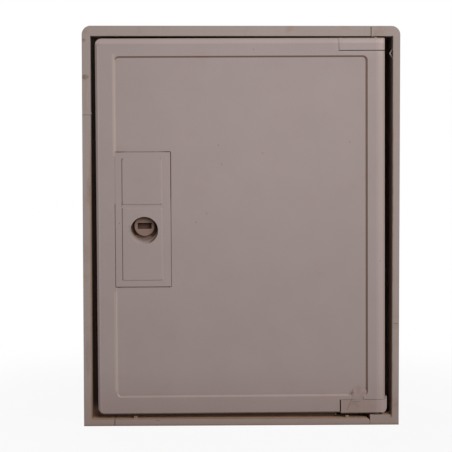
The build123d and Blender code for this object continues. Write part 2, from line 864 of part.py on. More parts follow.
def hinge_block_screws():
    """Screws of both hinge blocks."""
    return screws(block_screw, block_screw_length, block_screw_places())


def housing_screws():
    """Screws of the lock housing."""
    places = [place * head_to_back for place in housing_screw_places()]
    return screws(housing_screw, housing_screw_length, places)


def casing_pieces():
    """Everything that stays with the wall."""
    shell = casing_shell()
    return {
        "left_and_top_panel": left_and_top_panel(shell),
        "right_side_panel": right_side_panel(shell),
        "bottom_panel": bottom_panel(shell),
        "bottom_front_strip": bottom_front_strip(shell),
        "back_panel": back_panel(),
        "back_panel_screws": back_panel_screws(),
        "strip_screws": strip_screws(),
        "meter_bracket": meter_bracket(),
        "bracket_screws": bracket_screws(),
        "hinge_washer": hung * hinge_washer(),
    }


def door_pieces():
    """Everything that hangs on the hinges."""
    upright = {
        "door_panel": door_panel(),
        "lock_plate": lock_plate(),
        "upper_hinge_block": upper_hinge_block(),
        "lower_hinge_block": lower_hinge_block(),
        "upper_hinge_pin": upper_hinge_pin(),
        "lower_hinge_pin": lower_hinge_pin(),
        "hinge_block_screws": hinge_block_screws(),
        "lock_housing": lock_housing(),
        "housing_screws": housing_screws(),
        "lock_core": lock_core(),
        "lock_tongue": lock_tongue(),
        "tongue_washer": tongue_washer(),
        "tongue_screw": tongue_screw(),
    }
    return {name: hung * piece for name, piece in upright.items()}


def main():
    os.makedirs("parts", exist_ok=True)
    for name, piece in {**casing_pieces(), **door_pieces()}.items():
        export_step(piece, f"parts/{name}.step")
    axis_lean = math.radians(door_sag)
    lock_place = (hung * Pos(core_x, core_front, core_z)).position
    print("hinge axis", -math.sin(axis_lean), 0, math.cos(axis_lean), "through", hinge_x, hinge_y, spot_face)
    print("lock axis through", lock_place.X, lock_place.Y, lock_place.Z)


if __name__ == "__main__":
    main()
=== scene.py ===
import json
import math

import bmesh
import bpy
from bpy.props import FloatProperty, FloatVectorProperty, IntProperty, PointerProperty
from mathutils import Matrix, Vector, noise


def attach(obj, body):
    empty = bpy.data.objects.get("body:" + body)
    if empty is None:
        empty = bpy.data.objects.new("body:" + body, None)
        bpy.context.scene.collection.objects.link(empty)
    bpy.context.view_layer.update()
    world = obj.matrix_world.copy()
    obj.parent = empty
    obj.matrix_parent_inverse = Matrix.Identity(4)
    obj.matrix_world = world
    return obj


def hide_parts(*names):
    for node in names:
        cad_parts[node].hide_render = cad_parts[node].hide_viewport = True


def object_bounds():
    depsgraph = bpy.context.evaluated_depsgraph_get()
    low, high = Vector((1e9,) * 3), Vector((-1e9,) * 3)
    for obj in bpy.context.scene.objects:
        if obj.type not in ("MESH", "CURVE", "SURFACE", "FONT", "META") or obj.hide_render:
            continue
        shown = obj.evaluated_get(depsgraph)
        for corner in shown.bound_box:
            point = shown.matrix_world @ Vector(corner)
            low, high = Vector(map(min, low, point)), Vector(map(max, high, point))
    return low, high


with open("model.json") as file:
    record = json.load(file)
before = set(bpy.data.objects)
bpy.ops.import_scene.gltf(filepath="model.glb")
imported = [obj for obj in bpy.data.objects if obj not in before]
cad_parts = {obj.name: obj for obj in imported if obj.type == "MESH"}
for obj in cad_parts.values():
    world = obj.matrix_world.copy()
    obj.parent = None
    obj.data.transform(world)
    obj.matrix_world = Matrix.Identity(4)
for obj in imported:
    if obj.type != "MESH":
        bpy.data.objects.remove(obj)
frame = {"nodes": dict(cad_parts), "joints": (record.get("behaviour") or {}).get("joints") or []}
cad_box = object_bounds()

bl_info = {
    "name": "Gas meter box finishes",
    "version": (1, 0, 0),
    "blender": (4, 5, 0),
    "location": "3D View > Sidebar > Meter box",
    "description": "Moulded plastic, plated steel, turned screws and a plain studio for a gas meter box",
    "category": "Object",
}

AXES = (0, 1, 2)
MATRIX_SIZE = 4
FORWARD = Vector((0, -1, 0))
BACKWARD = Vector((0, 1, 0))
UPWARD = Vector((0, 0, 1))
DOWNWARD = Vector((0, 0, -1))

# Nodes by finish
CASING_NODES = ("left_and_top_panel", "right_side_panel", "bottom_panel", "bottom_front_strip", "back_panel")
DOOR_NODES = ("door_panel", "lock_plate", "upper_hinge_block", "lower_hinge_block")
LOCK_NODES = ("lock_housing", "lock_core")
PLATED_NODES = ("meter_bracket", "lock_tongue", "tongue_washer")
PIN_NODES = ("upper_hinge_pin", "lower_hinge_pin")
WASHER_NODES = ("hinge_washer",)

# Screw groups: body, way that the head faces, shank radius, head height, sunk head
SCREW_GROUPS = {
    "back_panel_screws": ("casing", FORWARD, 0.0020, 0.0024, False),
    "bracket_screws": ("casing", FORWARD, 0.0025, 0.0030, False),
    "strip_screws": ("casing", DOWNWARD, 0.0020, 0.0020, True),
    "hinge_block_screws": ("door", None, 0.0018, 0.0022, False),
    "housing_screws": ("door", BACKWARD, 0.0020, 0.0024, False),
    "tongue_screw": ("lock", BACKWARD, 0.0025, 0.0032, False),
}

# Head profiles as shares of radius and height, from the rim to the flat top
PAN_PROFILE = ((1.0, 0.0), (1.0, 0.30), (0.96, 0.58), (0.86, 0.82), (0.72, 0.96), (0.62, 1.0))
SUNK_PROFILE = ((1.0, 0.0),)
# Cross recess as shares of the head's radius and height
RECESS_ARMS = 4
RECESS_REACH = 0.50
RECESS_WIDTH = 0.15
RECESS_TAPER = 0.55
RECESS_DEPTH = 0.62
# Thread and tip
SCREW_SIDES = 24
ROWS_PER_TURN = 6
LEAST_ROWS = 4
TIP_SHARE = 0.18
TIP_NARROWING = 0.55

# Edges: weld, angle from which they are rounded, angle that stays crisp on screws, share for fine parts
WELD_REACH = 0.000005
EDGE_ANGLE = math.radians(13.5)
SPLIT_ANGLE = math.radians(40)
FINE_EDGE = 0.5

# Reach of the dirt and painted shade in seams, in the lock's well and in the gap round the door
SEAM_REACH = 0.005
WELL_REACH = 0.010
GAP_REACH = 0.030
CORNER_SAMPLES = 6

# Sockets for mixing colours
MIX_SHARE = 0
MIX_START = 6
MIX_END = 7
MIX_RESULT = 2

# Soft border of an oval mark, in squares of its radius
SPOT_BORDER = (1.0, 0.2)

# Moulded plastic: patterns as size and detail, the values that they show between, and their tones
TONE_CLOUDS = (0.05, 3.0)
TONE_RANGE = (0.25, 0.75)
DEEP_TONE = 0.98
PALE_TONE = 1.02
FLECKS = (0.0025, 1.0)
FLECK_RANGE = (0.55, 0.75)
FLECK_SHARE = 0.2
FLECK_TONE = 0.88
PATCHES = (0.022, 4.0)
PATCH_RANGE = (0.55, 0.80)
CASING_STAINS = 0.5
DOOR_STAINS = 0.1
LOCK_STAINS = 0.5
# Darker towards the lower edge: heights where it starts and where it is full
LOW_DARKENING = (0.085, -0.010)
# Grime, and dirt with painted shade, in seams: how shut in a place is where each starts and is full
SEAM_GRIME_AND_SHADE = (0.10, 0.55)
SEAM_DIRT_AND_SHADE = (0.40, 0.90)
GRAIN_DETAIL = 2.0
GLOSS_CLOUDS = (0.03, 2.0)
GLOSS_SPREAD = 0.16
DIRT_DULLNESS = 0.4
PLASTIC_ROUGHNESS = 0.46

# Zinc plating: spangle and streaks along the sheet
SPANGLE = (0.006, 3.0)
SPANGLE_RANGE = (0.3, 0.7)
SPANGLE_DEEP = 0.90
SPANGLE_PALE = 1.08
STREAKS = (0.0006, 1.0)
STREAK_STRETCH = (0.04, 1.0, 1.0)
PLATE_SPREAD = 0.10
PLATE_ROUGHNESS = 0.26
FINE_RELIEF = 0.00001

# Nylon of the washer
NYLON_CLOUDS = (0.004, 2.0)
NYLON_RANGE = (0.3, 0.7)
NYLON_DEEP = 0.92
NYLON_GRAIN = (0.0004, 1.0)
NYLON_SPREAD = 0.1
NYLON_ROUGHNESS = 0.4

# Front planes of the rim and the door, and the lean of the door in the casing
RIM_FRONT = -0.1000
DOOR_FRONT = -0.0990
DOOR_LEAN = 0.0040

# Gap round the door: distance of its walls from the middle, depth of its dirt and painted shade, share that
# is shut in
GAP_SIDES = (0.1780, 0.1840)
INNER_WALLS = (0.1990, 0.1975)
INSIDE_DEPTH = (0.055, 0.040)
GAP_SHARE = (0.25, 0.55)
GAP_DEPTH = (0.0040, 0.0220)
ABOVE_LEDGE = (0.0140, 0.0300)

# Ledge under the door: height, depth of its grime and of its painted light, how far it faces up, and how much
# lighter the painted light makes it
LEDGE_HEIGHT = (0.0160, 0.0130)
LEDGE_GRIME = (0.0004, 0.0030)
LEDGE_LIGHT_DEPTH = (0.0015, 0.0050)
LEDGE_SLOPE = (0.60, 0.90)
LEDGE_PAINTED_LIGHT = 2.3

# Inner edges of the rim: span beside the door and uneven border of the dirt and painted shade
DOOR_FOOT = (0.0085, 0.0115)
DOOR_HEAD = (0.4945, 0.4915)
EDGE_CLOUDS = (0.012, 2.0)
EDGE_WANDER = 0.0016
# Hinge side: border, wall, tone of the dirt and painted shade on the edge and on the wall, weaker towards the
# top
HINGE_BORDER = 0.1907
HINGE_BORDER_FADE = (0.0012, -0.0008)
HINGE_WALL = (0.1880, 0.1900)
HINGE_WALL_DEPTH = (0.0006, 0.0024)
HINGE_EDGE_TONE = 2.0
HINGE_WALL_TONE = 7.0
HINGE_SHADE_AND_DIRT = 0.75
HINGE_SHADE_AND_DIRT_EASE = 0.45
HINGE_SHADE_AND_DIRT_TOP = (0.34, 0.42)
# Lock side: border, wall, depth and height of the thin grime
LOCK_BORDER = (-0.1908, -0.1894)
LOCK_WALL = (-0.1800, -0.1840)
LOCK_WALL_DEPTH = (0.020, 0.010)
LOCK_WALL_TOP = (0.40, 0.30)

# Stains on the rim: metres to the right of the middle and above the underside, radii and strength
STAIN_TONE = 3.5
STAIN_CLOUDS = (0.004, 3.0)
STAIN_RANGE = (0.0, 0.70)
RIM_SKIN = (0.0060, 0.0020)
RIM_STAINS = (
    (-0.1957, 0.4410, 0.0050, 0.0040, 0.80),
    (-0.1960, 0.2160, 0.0060, 0.0110, 0.12),
    (-0.1975, 0.4870, 0.0032, 0.0028, 0.60),
    (-0.1925, 0.3000, 0.0030, 0.0200, 0.30),
    (-0.1945, 0.0900, 0.0040, 0.0300, 0.25),
    (-0.1060, 0.0070, 0.0030, 0.0009, 0.60),
)
# Fine lines on the rim: start, end, width and strength, and their depth in grains
RIM_LINE_DEPTH = 2
RIM_LINES = (
    ((-0.2000, 0.3936), (-0.1890, 0.3936), 0.0006, 0.55),
    ((0.1924, 0.1294), (0.1987, 0.1294), 0.0006, 0.60),
    ((-0.1610, 0.0000), (-0.1610, 0.0085), 0.0007, 0.75),
    ((-0.1610, 0.0000), (-0.1610, 0.0012), 0.0010, 0.85),
)

# Painted highlights on the door's bevels: where they start and end, and how much lighter they are
TOP_BEVEL_HIGHLIGHT = (0.4824, 0.4838, 1.17)
RIGHT_BEVEL_HIGHLIGHT = (0.1712, 0.1728, 1.10)
LEFT_BEVEL_HIGHLIGHT = (-0.1768, -0.1800, 1.30)

# Sunk field of the door: its borders, the slopes round it and the depth that marks reach
FIELD_LEFT = (-0.172, -0.168)
FIELD_FOOT = (0.033, 0.037)
FIELD_HEAD = (0.482, 0.478)
FIELD_SLOPE = (0.15, 0.45)
UPPER_EDGE = (0.40, 0.44)
# Sill, the field's lower slope that faces up: height and end of its painted highlight, and how much lighter
# it is
SILL_HEIGHT = (0.060, 0.050)
SILL_END = (0.137, 0.133)
SILL_HIGHLIGHT = 1.15
DOOR_SKIN = (0.0030, 0.0024)
# Places of the painted shade on the smear and in the key well, how far the smear faces up and how deep the
# well's shade starts
SMEAR_SHADE = (0.1495, 0.0440, 0.0170, 0.0140)
SMEAR_TILT = (0.04, 0.20)
KEY_WELL = (-0.1228, 0.2480, 0.0270, 0.0270)
KEY_WELL_DEPTH = (0.0004, 0.0060)

# Painted highlight along the field's left edge, whose wall faces the light: start, end, width and strength
RECESS_HIGHLIGHTS = (
    ((-0.1608, 0.4700), (-0.1602, 0.3420), 0.0023, 0.42),
    ((-0.1594, 0.1710), (-0.1590, 0.0440), 0.0023, 0.38),
)
# Specks on the door
SPECK_RADIUS = 0.0009
SPECK_STRENGTH = 0.55
DOOR_SPECKS = (
    (-0.0440, 0.2697), (-0.0250, 0.3317), (0.0268, 0.3456), (0.1368, 0.3595), (-0.0579, 0.2584),
    (0.1759, 0.2091), (0.0154, 0.4758), (-0.0288, 0.3557), (-0.1540, 0.2571),
)
# Smudges by the lower hinge and the key well: place, radii and strength
SMUDGE_CLOUDS = (0.005, 3.0)
SMUDGE_RANGE = (0.30, 0.70)
DOOR_SMUDGES = (
    (0.1500, 0.0420, 0.0130, 0.0100, 0.16),
    (0.1423, 0.0411, 0.0030, 0.0024, 0.45),
    (0.1585, 0.0440, 0.0030, 0.0060, 0.25),
    (0.1445, 0.0245, 0.0080, 0.0065, 0.14),
    (0.1495, 0.0186, 0.0018, 0.0012, 0.35),
    (0.1574, 0.0329, 0.0020, 0.0010, 0.60),
    (-0.1407, 0.2505, 0.0026, 0.0062, 0.28),
)
# Scuffs by the lower hinge: start, end, width and strength, and their depth in grains
SCUFF_DEPTH = 3
HINGE_SCUFFS = (
    ((0.1341, 0.0188), (0.1403, 0.0337), 0.0009, 0.32),
    ((0.1403, 0.0337), (0.1423, 0.0411), 0.0009, 0.16),
    ((0.1403, 0.0295), (0.1505, 0.0295), 0.0009, 0.28),
)
# Hinge blocks: painted shade on the lower one, a painted highlight on the upper one, and painted shade on the
# edge of the door between them
LOW_BLOCK = (0.1480, 0.0230, 0.0330, 0.0160)
LOW_BLOCK_SHADE = 0.3
HIGH_BLOCK = (0.1550, 0.4800, 0.0450, 0.0180)
HIGH_BLOCK_HIGHLIGHT = 1.06
HINGE_BEVEL = (0.1792, 0.1828)
HINGE_BEVEL_SHADE = 0.7

# Places with little dirt and painted shade: ledge, ring under the lock's core, and seams of the door
CLEAN_LEDGE = ((0.0, 0.0095, 0.4000, 0.0060),)
CLEAN_RING = ((-0.1260, 0.2375, 0.0170, 0.0060),)
CLEAN_SEAMS = (
    (-0.1595, 0.3160, 0.0040, 0.0400),
    (0.1550, 0.0330, 0.0420, 0.0045),
    (0.1246, 0.4840, 0.0030, 0.0180),
    (-0.1236, 0.3462, 0.0320, 0.0040),
    (-0.1236, 0.1756, 0.0340, 0.0040),
    (-0.1590, 0.2300, 0.0040, 0.0560),
    (-0.1235, 0.2385, 0.0120, 0.0055),
    (-0.0882, 0.2260, 0.0040, 0.0720),
    (-0.1498, 0.2250, 0.0030, 0.0500),
)

# Smear of softened plastic by the lower hinge, which fills the sunk field's corner
SMEAR_MIDDLE = (0.1495, 0.0400)
SMEAR_HALF = (0.0120, 0.0125)
SMEAR_CELL = 0.0004
SMEAR_MARGIN = 2
SMEAR_PROUD = 0.00004
SMEAR_FOOT = 0.0365
SMEAR_SLOPE = 0.0140
SMEAR_EDGE = 1.1
SMEAR_RAGGED = 0.3
SMEAR_RAGGED_SIZE = 0.004
SMEAR_SINK = 0.0012
SMEAR_SINK_START = 0.25
SMEAR_LUMPS = 0.00004
SMEAR_LUMP_SIZE = 0.0015
FIELD_DEPTH = 0.0018
# Blister in the smear
BLISTER = (0.1561, 0.0344)
BLISTER_RADIUS = 0.0014
BLISTER_HEIGHT = 0.0010
# Flash of the moulding at the top seam
FLASH_PLACE = (0.1648, -0.0990, 0.4919)
FLASH_SIZE = (0.0010, 0.0008, 0.0007)
FLASH_ROUNDS = 3
FLASH_SWELL = 0.3
FLASH_LUMPS = 1.7

# Studio floor, its shadow and the camera's sensor
FLOOR_REACH = 6.0
FLOOR_CELLS = 4
FLOOR_TONE = 0.3
SHADOW_CORE = 0.25
SHADOW_REACH = 0.75
SENSOR_WIDTH = 36.0


class MouldedPlastic(bpy.types.PropertyGroup):
    """Colours and grain of the moulded parts."""

    casing_colour: FloatVectorProperty(
        name="Casing", description="Colour of the casing's panels", subtype="COLOR",
        default=(0.292, 0.232, 0.210), min=0, max=1,
    )
    door_colour: FloatVectorProperty(
        name="Door", description="Colour of the door, lock plate and hinge blocks", subtype="COLOR",
        default=(0.299, 0.238, 0.226), min=0, max=1,
    )
    lock_colour: FloatVectorProperty(
        name="Lock", description="Colour of the lock's core and housing", subtype="COLOR",
        default=(0.196, 0.126, 0.103), min=0, max=1,
    )
    # Brown stains, and dirt and painted shade in seams, in the gap and on the rim's hinge-side edge
    stain_and_shade_colour: FloatVectorProperty(
        name="Stain", description="Colour of the brown stains, and of dirt and painted shade in seams, in the gap and on the rim's hinge-side edge", subtype="COLOR",
        default=(0.034, 0.018, 0.011), min=0, max=1,
    )
    # Grime, and grime and painted shade in corners, on the lower hinge block and on the door's hinge-side
    # edge
    grime_and_shade_tint: FloatVectorProperty(
        name="Grime", description="Tint of thin grime along edges, of grime and painted shade in corners, and of painted shade on the lower hinge block and the door's hinge-side edge", subtype="COLOR",
        default=(0.80, 0.66, 0.50), min=0, max=1,
    )
    # Painted shade, with some grime, on edges that face away from the light, and painted shade in the key
    # well
    lee_shade_and_grime_tint: FloatVectorProperty(
        name="Lee shade and grime", description="Tint of painted shade and grime on edges that face down or to the left, and of painted shade in the key well",
        subtype="COLOR", default=(0.62, 0.52, 0.45), min=0, max=1,
    )
    # Darkening towards the lower edge, and painted shade on the smear's slopes that face up
    low_darkening_and_shade_tint: FloatVectorProperty(
        name="Low darkening and shade", description="Tint of the darkening towards the lower edge, and of painted shade on the smear's slopes that face up",
        subtype="COLOR", default=(0.88, 0.82, 0.80), min=0, max=1,
    )
    # Painted highlight along the sunk field's left edge, whose wall faces the light
    recess_highlight_colour: FloatVectorProperty(
        name="Recess highlight", description="Colour of the painted highlight along the sunk field's left edge", subtype="COLOR",
        default=(0.42, 0.34, 0.28), min=0, max=1,
    )
    sheen: FloatProperty(
        name="Sheen", description="Strength of the plastic's reflections", default=0.25, min=0.0, max=1.0,
        subtype="FACTOR",
    )
    grain_size: FloatProperty(
        name="Grain size", description="Size of the moulded grain", default=0.0006, min=0.0001, unit="LENGTH",
    )
    grain_depth: FloatProperty(
        name="Grain depth", description="Depth of the moulded grain", default=0.00004, min=0.0, unit="LENGTH",
    )
    edge_width: FloatProperty(
        name="Edge width", description="Width of the rounding on moulded edges", default=0.0003, min=0.0,
        unit="LENGTH",
    )
    edge_steps: IntProperty(
        name="Edge steps", description="Facets across a rounded edge", default=2, min=1, max=6,
    )


class PlatedSteel(bpy.types.PropertyGroup):
    """Colours and threads of the metal parts."""

    zinc_colour: FloatVectorProperty(
        name="Zinc", description="Colour of zinc plating", subtype="COLOR",
        default=(0.46, 0.46, 0.43), min=0, max=1,
    )
    pin_colour: FloatVectorProperty(
        name="Pins", description="Colour of the drawn hinge pins", subtype="COLOR",
        default=(0.50, 0.50, 0.50), min=0, max=1,
    )
    nylon_colour: FloatVectorProperty(
        name="Nylon", description="Colour of the hinge washer", subtype="COLOR",
        default=(0.022, 0.018, 0.016), min=0, max=1,
    )
    thread_pitch: FloatProperty(
        name="Thread pitch", description="Rise of one turn of the screw threads", default=0.0012, min=0.0004,
        unit="LENGTH",
    )
    thread_depth: FloatProperty(
        name="Thread depth", description="Depth of the screw threads", default=0.00035, min=0.0,
        unit="LENGTH",
    )


class Studio(bpy.types.PropertyGroup):
    """Camera, lamps and floor."""

    camera_place: FloatVectorProperty(
        name="Camera", description="Place of the camera", subtype="XYZ", unit="LENGTH",
        default=(-0.0458, -1.6, 0.3133),
    )
    camera_yaw: FloatProperty(
        name="Yaw", description="Turn of the camera to the right", subtype="ANGLE",
        default=math.radians(1.000),
    )
    camera_pitch: FloatProperty(
        name="Pitch", description="Tilt of the camera upwards", subtype="ANGLE", default=math.radians(-2.274),
    )
    camera_roll: FloatProperty(
        name="Roll", description="Roll of the camera", subtype="ANGLE", default=math.radians(-0.089),
    )
    camera_lens: FloatProperty(
        name="Lens", description="Focal length on a 36 mm wide sensor", subtype="DISTANCE_CAMERA",
        default=94.75,
    )
    key_place: FloatVectorProperty(
        name="Key lamp", description="Place of the main lamp, above and to the right", subtype="XYZ",
        unit="LENGTH", default=(2.40, -3.40, 2.30),
    )
    key_power: FloatProperty(
        name="Key power", description="Power of the main lamp", default=190.0, min=0.0, unit="POWER",
    )
    key_size: FloatProperty(
        name="Key size", description="Width of the main lamp", default=3.0, min=0.01, unit="LENGTH",
    )
    front_place: FloatVectorProperty(
        name="Front lamp", description="Place of the weak lamp before the door", subtype="XYZ", unit="LENGTH",
        default=(0.03, -0.70, 0.44),
    )
    front_power: FloatProperty(
        name="Front power", description="Power of the lamp before the door", default=1.1, min=0.0,
        unit="POWER",
    )
    front_size: FloatProperty(
        name="Front size", description="Width of the lamp before the door", default=0.3, min=0.01,
        unit="LENGTH",
    )
    back_place: FloatVectorProperty(
        name="Back lamp", description="Place of the lamp behind the box", subtype="XYZ", unit="LENGTH",
        default=(-1.3, 2.2, 1.6),
    )
    back_power: FloatProperty(
        name="Back power", description="Power of the lamp behind the box", default=45.0, min=0.0,
        unit="POWER",
    )
    back_size: FloatProperty(
        name="Back size", description="Width of the lamp behind the box", default=0.9, min=0.01,
        unit="LENGTH",
    )
    ambient: FloatProperty(
        name="Ambient", description="Strength of the light from all round", default=0.06, min=0.0,
    )
    floor_colour: FloatVectorProperty(
        name="Floor", description="Colour of the floor and background", subtype="COLOR",
        default=(1.0, 1.0, 1.0), min=0, max=1,
    )
    floor_shadow: FloatProperty(
        name="Floor shadow", description="How much of the box's shadow shows on the floor by it",
        default=0.07, min=0.0, max=1.0, subtype="FACTOR",
    )


class Shade:
    """A socket in a material's nodes that is written in sums as a number is."""

    def __init__(self, tree, socket=None):
        self.tree = tree
        self.socket = socket

    def node(self, kind, settings=None, sockets=None, output=0):
        """Adds a node: its settings first, then the values or links of its sockets."""
        node = self.tree.nodes.new(kind)
        for name, value in (settings or {}).items():
            setattr(node, name, value)
        for name, value in (sockets or {}).items():
            if isinstance(value, Shade):
                self.tree.links.new(value.socket, node.inputs[name])
            else:
                node.inputs[name].default_value = value
        return Shade(self.tree, node.outputs[output])

    def maths(self, operation, first, second):
        """Result of one operation on two values."""
        return self.node("ShaderNodeMath", {"operation": operation}, {0: first, 1: second})

    def __add__(self, other):
        return self.maths("ADD", self, other)

    __radd__ = __add__

    def __sub__(self, other):
        return self.maths("SUBTRACT", self, other)

    def __rsub__(self, other):
        return self.maths("SUBTRACT", other, self)

    def __mul__(self, other):
        return self.maths("MULTIPLY", self, other)

    __rmul__ = __mul__

    def __truediv__(self, other):
        return self.maths("DIVIDE", self, other)

    def __rtruediv__(self, other):
        return self.maths("DIVIDE", other, self)

    def larger(self, other):
        """The larger of two values."""
        return self.maths("MAXIMUM", self, other)

    def fade(self, start, end):
        """0 at start and 1 at end, with a soft change between them."""
        settings = {"interpolation_type": "SMOOTHSTEP"}
        return self.node("ShaderNodeMapRange", settings, {"Value": self, "From Min": start, "From Max": end})

    def mix(self, start, end, blend="MIX"):
        """Colour that goes from start to end as this value goes from 0 to 1."""
        settings = {"data_type": "RGBA", "blend_type": blend}
        sockets = {MIX_SHARE: self, MIX_START: paint(start), MIX_END: paint(end)}
        return self.node("ShaderNodeMix", settings, sockets, output=MIX_RESULT)

    def tint(self, colour, shade):
        """Colour seen through a tint where this value is 1."""
        return self.mix(colour, shade, blend="MULTIPLY")


def paint(colour):
    """Colour as a socket takes it."""
    return colour if isinstance(colour, Shade) else (*colour, 1.0)


def toned(colour, factor):
    """Lighter or darker tone of a colour."""
    return tuple(channel * factor for channel in colour)


def even(lift):
    """Tint that lightens or darkens every colour alike."""
    return (lift, lift, lift)


def squares(pair):
    """Squares of two distances."""
    return tuple(distance * distance for distance in pair)


class Surface:
    """Material under construction, with the place on the object that its marks are drawn at."""

    def __init__(self, name):
        self.material = bpy.data.materials.new(name)
        self.material.use_nodes = True
        tree = self.material.node_tree
        self.shader = next(node for node in tree.nodes if node.type == "BSDF_PRINCIPLED")
        self.start = Shade(tree)
        self.point = self.start.node("ShaderNodeTexCoord", output="Object")
        self.x, self.y, self.z = [self.part(self.point, axis) for axis in "XYZ"]

    def part(self, vector, axis):
        """Part of a place or a direction along one axis."""
        return self.start.node("ShaderNodeSeparateXYZ", None, {"Vector": vector}, output=axis)

    def facing(self, axis):
        """How far the surface faces along an axis."""
        direction = self.start.node("ShaderNodeTexCoord", output="Normal")
        return self.part(direction, axis)

    def clouds(self, size, detail, stretch=None):
        """Cloudy pattern from 0 to 1 with features of about that size, stretched along an axis or not."""
        point = self.point
        if stretch is not None:
            point = self.start.node("ShaderNodeVectorMath", {"operation": "MULTIPLY"}, {0: point, 1: stretch})
        sockets = {"Vector": point, "Scale": 1 / size, "Detail": detail}
        return self.start.node("ShaderNodeTexNoise", None, sockets)

    def spot(self, x, z, radius_x, radius_z):
        """Soft oval mark on the front."""
        across = (self.x - x) / radius_x
        along = (self.z - z) / radius_z
        return (across * across + along * along).fade(*SPOT_BORDER)

    def stroke(self, start, end, width):
        """Soft straight mark on the front from one point to another."""
        run = Vector(end) - Vector(start)
        length = run.length
        along_x, along_z = run / length
        start_x, start_z = start
        from_x = self.x - start_x
        from_z = self.z - start_z
        along = from_x * along_x + from_z * along_z
        across = from_x * along_z - from_z * along_x
        ends = along.fade(-width, width) * (along - length).fade(width, -width)
        return (across * across).fade(width * width, 0.0) * ends

    def corners(self, reach):
        """Share of a place that is shut in by what stands near it."""
        settings = {"samples": CORNER_SAMPLES}
        open_share = self.start.node("ShaderNodeAmbientOcclusion", settings, {"Distance": reach}, output="AO")
        return 1 - open_share

    def relief(self, height, depth):
        """Normal of a surface that stands out by that height."""
        return self.start.node("ShaderNodeBump", None, {"Height": height, "Distance": depth}, output="Normal")

    def feed(self, name, value):
        """Links a socket of the shader, or sets it where it is the same all over."""
        socket = self.shader.inputs[name]
        if isinstance(value, Shade):
            self.start.tree.links.new(value.socket, socket)
        else:
            socket.default_value = value

    def finish(self, sockets):
        """Material with its shader fed."""
        for name, value in sockets.items():
            self.feed(name, value)
        return self.material


def dress(names, material):
    """Gives a finish to the nodes of those names."""
    for name in names:
        node = frame["nodes"][name]
        if not node.material_slots:
            node.data.materials.append(material)
        for slot in node.material_slots:
            slot.material = material


def soften(names, width, steps):
    """Rounds the sharp edges of nodes by modifiers, which leave their meshes as they are."""
    for name in names:
        node = frame["nodes"][name]
        weld = node.modifiers.new("weld", "WELD")
        weld.merge_threshold = WELD_REACH
        bevel = node.modifiers.new("edges", "BEVEL")
        bevel.limit_method = "ANGLE"
        bevel.angle_limit = EDGE_ANGLE
        bevel.width = width
        bevel.segments = steps
        bevel.use_clamp_overlap = False
        bevel.miter_outer = "MITER_ARC"
        normals = node.modifiers.new("normals", "WEIGHTED_NORMAL")
        normals.keep_sharp = False


def plastic_tone(surface, colour, look, stains):
    """Tone of the plastic: cloudy, flecked, stained in patches and darker towards the lower edge."""
    clouds = surface.clouds(*TONE_CLOUDS).fade(*TONE_RANGE)
    tone = clouds.mix(toned(colour, DEEP_TONE), toned(colour, PALE_TONE))
    flecks = surface.clouds(*FLECKS).fade(*FLECK_RANGE)
    tone = (flecks * FLECK_SHARE).mix(tone, toned(colour, FLECK_TONE))
    patches = surface.clouds(*PATCHES).fade(*PATCH_RANGE)
    tone = (patches * stains).tint(tone, look.grime_and_shade_tint)
    return surface.z.fade(*LOW_DARKENING).tint(tone, look.low_darkening_and_shade_tint)


def moulded(name, colour, look, reach, stains, marks=None, clean=()):
    """Grained plastic with cloudy tone, brown stains, and grime, dirt and painted shade in its seams."""
    surface = Surface(name)
    tone = plastic_tone(surface, colour, look, stains)
    shut_in = surface.corners(reach)
    for place in clean:
        shut_in = shut_in * (1 - surface.spot(*place))
    # grime, dirt and painted shade where a place is shut in by what stands near it
    tone = shut_in.fade(*SEAM_GRIME_AND_SHADE).tint(tone, look.grime_and_shade_tint)
    tone = shut_in.fade(*SEAM_DIRT_AND_SHADE).mix(tone, look.stain_and_shade_colour)
    height = surface.clouds(look.grain_size, GRAIN_DETAIL)
    if marks is not None:
        tone, height = marks(surface, tone, height, look)
    gloss = surface.clouds(*GLOSS_CLOUDS) * GLOSS_SPREAD
    return surface.finish({
        "Base Color": tone,
        "Roughness": gloss + shut_in * DIRT_DULLNESS + PLASTIC_ROUGHNESS,
        "Specular IOR Level": look.sheen,
        "Normal": surface.relief(height, look.grain_depth),
    })


def gap_dirt_and_shade(surface, tone, look):
    """Dirt and painted shade on the walls of the gap round the door, grime on the ledge below it, and painted
    light on the ledge where it faces up.
    """
    out_squared = surface.x * surface.x
    depth = surface.y - RIM_FRONT
    beside_door = out_squared.fade(*squares(GAP_SIDES))
    inside = out_squared.fade(*squares(INNER_WALLS)) * depth.fade(*INSIDE_DEPTH)
    shut_in = surface.corners(GAP_REACH).fade(*GAP_SHARE) * depth.fade(*GAP_DEPTH)
    shut_in = shut_in * surface.z.fade(*ABOVE_LEDGE)
    # dirt and painted shade on the gap's walls, where they are shut in
    tone = (shut_in * beside_door * inside).mix(tone, look.stain_and_shade_colour)
    low_inside = surface.z.fade(*LEDGE_HEIGHT) * inside
    tone = (low_inside * depth.fade(*LEDGE_GRIME)).tint(tone, look.grime_and_shade_tint)
    # painted light on the ledge where it faces up, in the shadow under the door
    on_ledge = low_inside * depth.fade(*LEDGE_LIGHT_DEPTH) * surface.facing("Z").fade(*LEDGE_SLOPE)
    return on_ledge.tint(tone, even(LEDGE_PAINTED_LIGHT))


def rim_marks(surface, tone, height, look):
    """Stains and fine lines on the rim's front."""
    on_front = (surface.y - RIM_FRONT).fade(*RIM_SKIN)
    brown = toned(look.stain_and_shade_colour, STAIN_TONE)
    ragged = surface.clouds(*STAIN_CLOUDS).fade(*STAIN_RANGE)
    for *oval, strength in RIM_STAINS:
        tone = (surface.spot(*oval) * ragged * on_front * strength).mix(tone, brown)
    for *run, strength in RIM_LINES:
        line = surface.stroke(*run) * on_front
        tone = (line * strength).mix(tone, look.stain_and_shade_colour)
        height = height - line * RIM_LINE_DEPTH
    return tone, height


